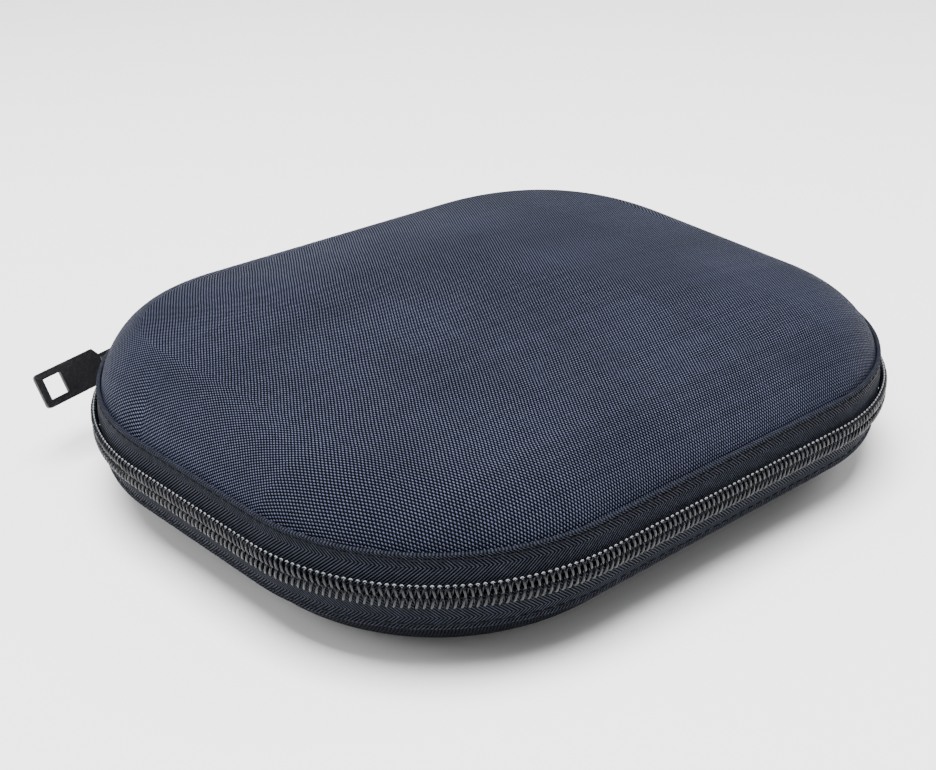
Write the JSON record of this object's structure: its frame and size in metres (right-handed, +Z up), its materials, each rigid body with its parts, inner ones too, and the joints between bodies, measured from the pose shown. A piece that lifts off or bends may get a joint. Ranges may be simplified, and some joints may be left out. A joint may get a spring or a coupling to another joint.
{
  "type": "headphone carrying case",
  "caption": "Zipped hard-shell carrying case for headphones, with a cloth hinge, a coil zipper with pull, and a net pocket in the lid.",
  "frame": {"origin": "centre of the flat underside, on the surface that the case lies on", "axes": "+X along the hinge, +Y towards the hinge, +Z up through the lid"},
  "size_m": [0.2054, 0.1754, 0.05],
  "materials": {
    "woven_cover": "plain-woven nylon, dark navy, slight sheen",
    "foam": "moulded closed-cell foam, matt",
    "lining": "brushed tricot lining, matt",
    "binding": "grosgrain binding tape",
    "zipper_tape": "herringbone woven zipper tape",
    "coil": "nylon monofilament coil",
    "thread": "twisted sewing thread",
    "hinge_cloth": "plain-woven nylon strip",
    "net": "knitted net",
    "elastic": "flat woven elastic",
    "slider": "black enamelled zinc",
    "pull": "black enamelled zinc, satin",
    "spring_steel": "bright spring steel"
  },
  "bodies": {
    "base": {"lower_cover": "woven_cover", "lower_foam_shell": "foam", "lower_lining": "lining", "lower_binding": "binding", "lower_zipper_tape": "zipper_tape", "lower_zipper_coil": "coil", "lower_coil_thread": "thread", "lower_seam_thread": "thread", "hinge_cloth_lower": "hinge_cloth", "hinge_lining_lower": "lining"},
    "lid": {"upper_cover": "woven_cover", "upper_foam_shell": "foam", "upper_lining": "lining", "upper_binding": "binding", "upper_zipper_tape": "zipper_tape", "upper_zipper_coil": "coil", "upper_coil_thread": "thread", "upper_seam_thread": "thread", "hinge_cloth_upper": "hinge_cloth", "hinge_lining_upper": "lining", "net_pocket": "net", "pocket_elastic": "elastic", "pocket_trim": "binding"},
    "slider": {"slider_body": "slider", "slider_bridge": "slider", "slider_lock_spring": "spring_steel"},
    "pull": {"pull_tab": "pull"}
  },
  "joints": [
    {"name": "lid_hinge", "type": "hinge", "parent": "base", "child": "lid", "pos_m": [0, 0.0877, 0.022], "axis": [-1, 0, 0], "range_deg": [0, 170]},
    {"name": "slider_run", "type": "hinge", "parent": "base", "child": "slider", "pos_m": [-0.0335, 0.0185, 0.022], "axis": [0, 0, 1], "range_deg": [0, 50]},
    {"name": "pull_swing", "type": "hinge", "parent": "slider", "child": "pull", "pos_m": [-0.07387, 0.07836, 0.022], "axis": [0, 0, 1], "range_deg": [-100, 5]}
  ]
}
